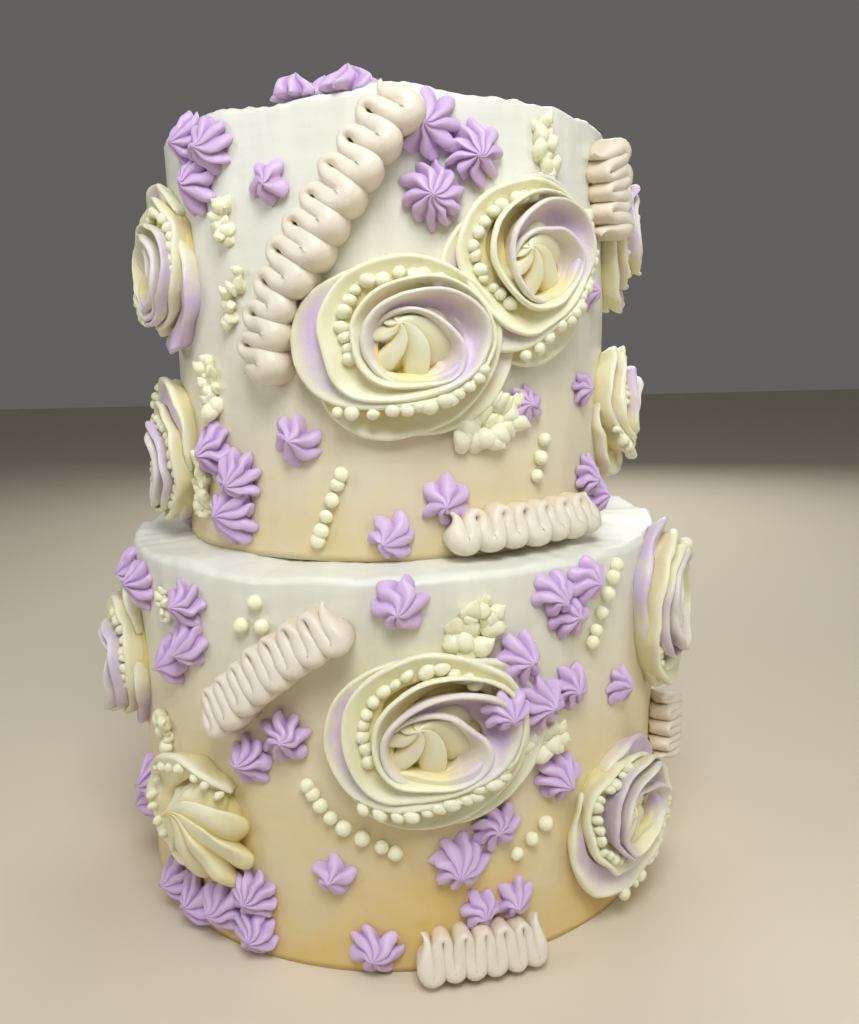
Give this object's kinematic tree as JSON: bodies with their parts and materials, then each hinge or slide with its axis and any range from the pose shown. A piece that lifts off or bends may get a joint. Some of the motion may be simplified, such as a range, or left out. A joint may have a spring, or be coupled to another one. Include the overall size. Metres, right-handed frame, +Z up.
{
  "type": "tiered cake",
  "caption": "Iced round cake in stacked tiers with piped swirls, stars, folded ribbons, pearls and leaf tufts on its sides.",
  "frame": {"origin": "middle of the lower tier's flat foot", "axes": "+Z up through both tiers, -Y towards the front, +X to the right seen from the front"},
  "size_m": [0.2358, 0.2406, 0.2898],
  "materials": {
    "icing": "smooth cream icing, satin",
    "rosette_icing": "piped cream icing with lilac streaks, satin",
    "ruffle_icing": "piped pinkish cream icing, satin",
    "lilac_icing": "piped lilac icing, satin"
  },
  "bodies": {
    "root": {"rosette_lower_back": "rosette_icing", "rosette_lower_back_left": "rosette_icing", "rosette_lower_back_right": "rosette_icing", "rosette_lower_front": "rosette_icing", "rosette_lower_left": "rosette_icing", "rosette_lower_left_high": "rosette_icing", "rosette_lower_right_high": "rosette_icing", "rosette_lower_right_low": "rosette_icing", "rosette_upper_back_left": "rosette_icing", "rosette_upper_back_right": "rosette_icing", "rosette_upper_front": "rosette_icing", "rosette_upper_front_right": "rosette_icing", "rosette_upper_left_high": "rosette_icing", "rosette_upper_left_low": "rosette_icing", "rosette_upper_right_high": "rosette_icing", "rosette_upper_right_low": "rosette_icing", "ruffle_lower_back": "ruffle_icing", "ruffle_lower_foot": "ruffle_icing", "ruffle_lower_front": "ruffle_icing", "ruffle_lower_right": "ruffle_icing", "ruffle_lower_side": "ruffle_icing", "ruffle_upper_back": "ruffle_icing", "ruffle_upper_foot": "ruffle_icing", "ruffle_upper_front": "ruffle_icing", "ruffle_upper_right": "ruffle_icing", "star_lower_front_foot": "lilac_icing", "star_lower_front_low": "lilac_icing", "star_lower_front_right_low": "lilac_icing", "star_lower_front_rim": "lilac_icing", "star_lower_right": "lilac_icing", "star_lower_right_foot": "lilac_icing", "star_upper_front_foot": "lilac_icing", "star_upper_front_left": "lilac_icing", "star_upper_front_low": "lilac_icing", "star_upper_front_right": "lilac_icing", "star_upper_left": "lilac_icing", "star_upper_left_foot": "lilac_icing", "star_upper_right": "lilac_icing", "star_upper_right_high": "lilac_icing", "stars_lower_back_high": "lilac_icing", "stars_lower_back_low": "lilac_icing", "stars_lower_front_foot": "lilac_icing", "stars_lower_front_left": "lilac_icing", "stars_lower_front_low": "lilac_icing", "stars_lower_front_right": "lilac_icing", "stars_lower_left_foot": "lilac_icing", "stars_lower_left_high": "lilac_icing", "stars_lower_left_rim": "lilac_icing", "stars_lower_left_side": "lilac_icing", "stars_lower_right_rim": "lilac_icing", "stars_top_back": "lilac_icing", "stars_top_front": "lilac_icing", "stars_upper_back": "lilac_icing", "stars_upper_back_low": "lilac_icing", "stars_upper_front_high": "lilac_icing", "stars_upper_left_low": "lilac_icing", "stars_upper_left_rim": "lilac_icing", "stars_upper_right_foot": "lilac_icing", "tier_lower": "icing", "tier_upper": "icing"}
  },
  "joints": []
}
